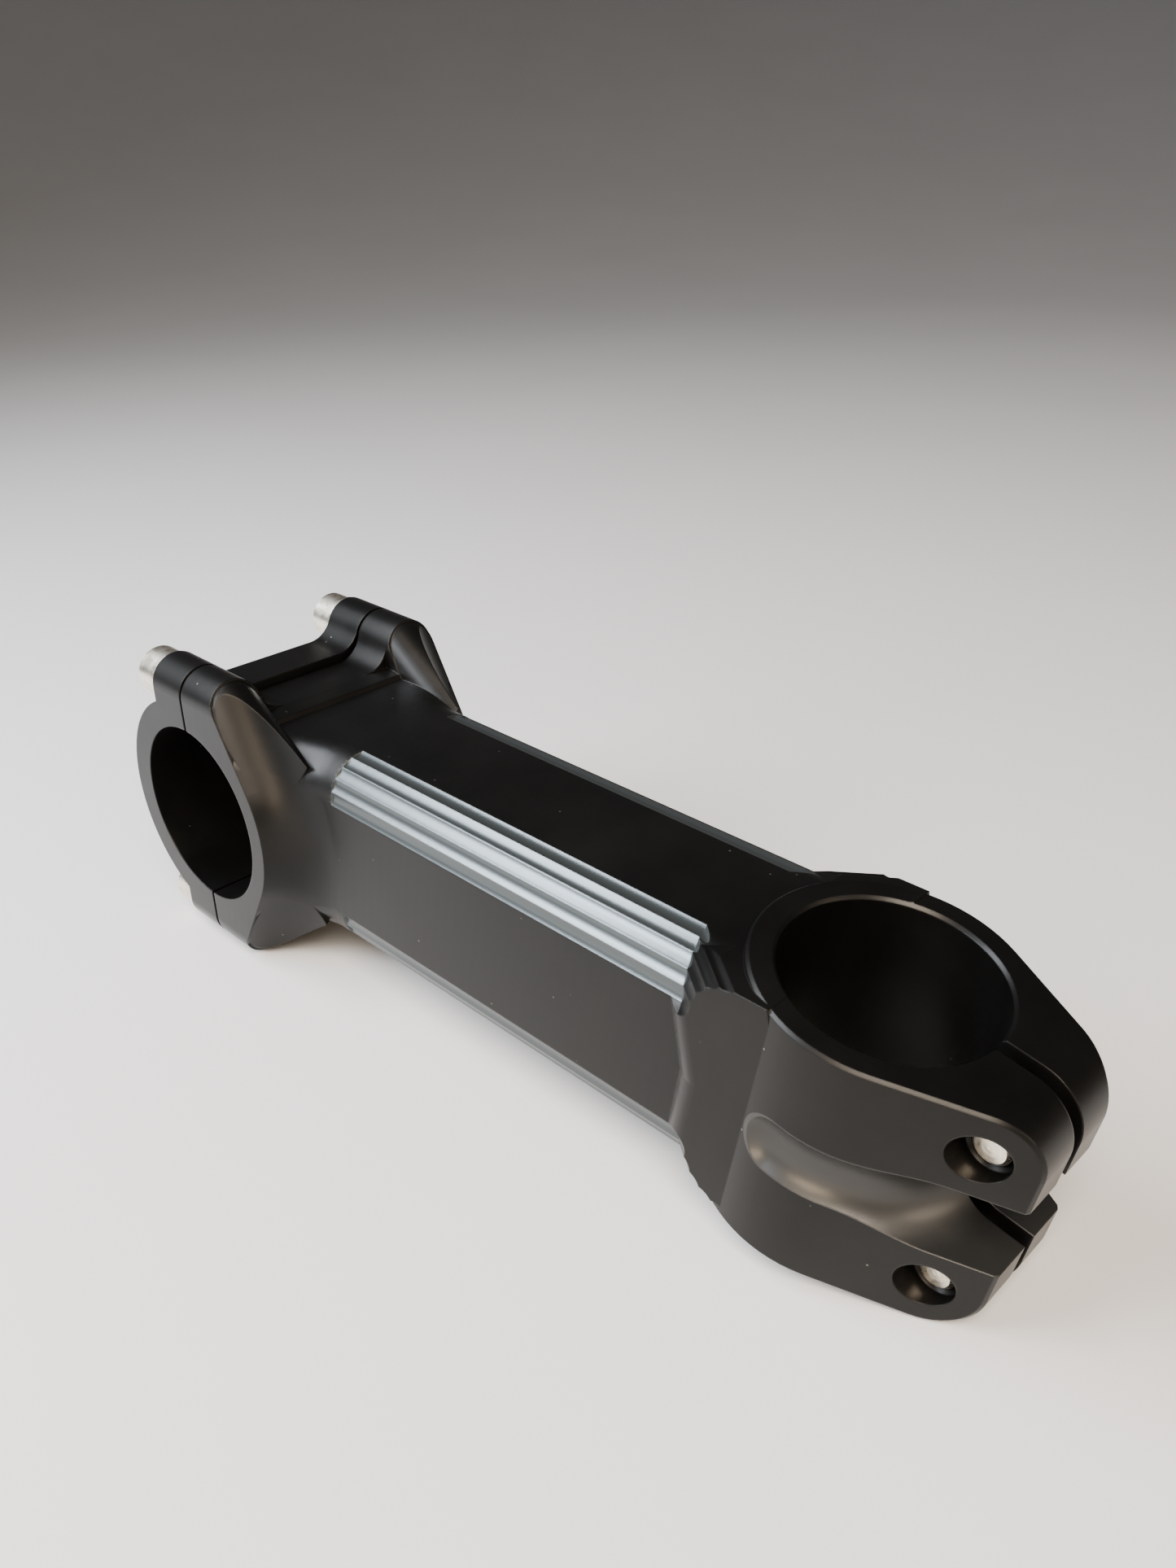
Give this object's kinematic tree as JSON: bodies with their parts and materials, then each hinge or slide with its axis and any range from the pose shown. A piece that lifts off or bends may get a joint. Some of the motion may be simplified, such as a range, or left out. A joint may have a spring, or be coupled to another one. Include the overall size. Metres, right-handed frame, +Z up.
{
  "type": "bicycle handlebar stem",
  "caption": "Threadless bicycle stem: a split steerer clamp and a fluted hollow extension carrying a handlebar clamp with a bolted faceplate.",
  "frame": {"origin": "on the steerer axis at mid-height of the steerer clamp", "axes": "+Z up along the steerer axis, +X towards the handlebar, +Y to the rider's left"},
  "size_m": [0.1653, 0.0456, 0.0652],
  "materials": {
    "stem": "satin black anodised, fine bead-blasted",
    "faceplate": "satin black anodised, fine bead-blasted",
    "bolt": "turned stainless steel",
    "washer": "plain stainless steel"
  },
  "bodies": {
    "stem": {"stem_body": "stem"},
    "faceplate": {"faceplate": "faceplate"},
    "faceplate_washer_upper_left": {"faceplate_washer_upper_left": "washer"},
    "faceplate_bolt_upper_left": {"faceplate_bolt_upper_left": "bolt"},
    "faceplate_washer_lower_left": {"faceplate_washer_lower_left": "washer"},
    "faceplate_bolt_lower_left": {"faceplate_bolt_lower_left": "bolt"},
    "faceplate_washer_upper_right": {"faceplate_washer_upper_right": "washer"},
    "faceplate_bolt_upper_right": {"faceplate_bolt_upper_right": "bolt"},
    "faceplate_washer_lower_right": {"faceplate_washer_lower_right": "washer"},
    "faceplate_bolt_lower_right": {"faceplate_bolt_lower_right": "bolt"},
    "steerer_washer_upper": {"steerer_washer_upper": "washer"},
    "steerer_bolt_upper": {"steerer_bolt_upper": "bolt"},
    "steerer_washer_lower": {"steerer_washer_lower": "washer"},
    "steerer_bolt_lower": {"steerer_bolt_lower": "bolt"}
  },
  "joints": [
    {"name": "faceplate_slide", "type": "slide", "parent": "stem", "child": "faceplate", "axis": [0.9848, 0, -0.1736], "range_m": [0, 0.04]},
    {"name": "faceplate_washer_upper_left_slide", "type": "slide", "parent": "faceplate", "child": "faceplate_washer_upper_left", "axis": [0.9848, 0, -0.1736], "range_m": [0, 0.008]},
    {"name": "faceplate_bolt_upper_left_turn", "type": "hinge", "parent": "faceplate_washer_upper_left", "child": "faceplate_bolt_upper_left", "pos_m": [0.13154, 0.018, 0.00003], "axis": [-0.9848, 0, 0.1736], "range_deg": [-3600.5, 0]},
    {"name": "faceplate_washer_lower_left_slide", "type": "slide", "parent": "faceplate", "child": "faceplate_washer_lower_left", "axis": [0.9848, 0, -0.1736], "range_m": [0, 0.008]},
    {"name": "faceplate_bolt_lower_left_turn", "type": "hinge", "parent": "faceplate_washer_lower_left", "child": "faceplate_bolt_lower_left", "pos_m": [0.12411, 0.018, -0.04211], "axis": [-0.9848, 0, 0.1736], "range_deg": [-3600.5, 0]},
    {"name": "faceplate_washer_upper_right_slide", "type": "slide", "parent": "faceplate", "child": "faceplate_washer_upper_right", "axis": [0.9848, 0, -0.1736], "range_m": [0, 0.008]},
    {"name": "faceplate_bolt_upper_right_turn", "type": "hinge", "parent": "faceplate_washer_upper_right", "child": "faceplate_bolt_upper_right", "pos_m": [0.13154, -0.018, 0.00003], "axis": [-0.9848, 0, 0.1736], "range_deg": [-3600.5, 0]},
    {"name": "faceplate_washer_lower_right_slide", "type": "slide", "parent": "faceplate", "child": "faceplate_washer_lower_right", "axis": [0.9848, 0, -0.1736], "range_m": [0, 0.008]},
    {"name": "faceplate_bolt_lower_right_turn", "type": "hinge", "parent": "faceplate_washer_lower_right", "child": "faceplate_bolt_lower_right", "pos_m": [0.12411, -0.018, -0.04211], "axis": [-0.9848, 0, 0.1736], "range_deg": [-3600.5, 0]},
    {"name": "steerer_washer_upper_slide", "type": "slide", "parent": "stem", "child": "steerer_washer_upper", "axis": [0, -1, 0], "range_m": [0, 0.008]},
    {"name": "steerer_bolt_upper_turn", "type": "hinge", "parent": "steerer_washer_upper", "child": "steerer_bolt_upper", "pos_m": [-0.02, -0.006, 0.0115], "axis": [0, 1, 0], "range_deg": [-3600.5, 0]},
    {"name": "steerer_washer_lower_slide", "type": "slide", "parent": "stem", "child": "steerer_washer_lower", "axis": [0, -1, 0], "range_m": [0, 0.008]},
    {"name": "steerer_bolt_lower_turn", "type": "hinge", "parent": "steerer_washer_lower", "child": "steerer_bolt_lower", "pos_m": [-0.02, -0.006, -0.0115], "axis": [0, 1, 0], "range_deg": [-3600.5, 0]}
  ],
  "couplings": [
    {"joint": "faceplate_bolt_upper_left_turn", "follows": "faceplate_washer_upper_left_slide", "rad_per_m": -7854},
    {"joint": "faceplate_bolt_lower_left_turn", "follows": "faceplate_washer_lower_left_slide", "rad_per_m": -7854},
    {"joint": "faceplate_bolt_upper_right_turn", "follows": "faceplate_washer_upper_right_slide", "rad_per_m": -7854},
    {"joint": "faceplate_bolt_lower_right_turn", "follows": "faceplate_washer_lower_right_slide", "rad_per_m": -7854},
    {"joint": "steerer_bolt_upper_turn", "follows": "steerer_washer_upper_slide", "rad_per_m": -7854},
    {"joint": "steerer_bolt_lower_turn", "follows": "steerer_washer_lower_slide", "rad_per_m": -7854}
  ]
}
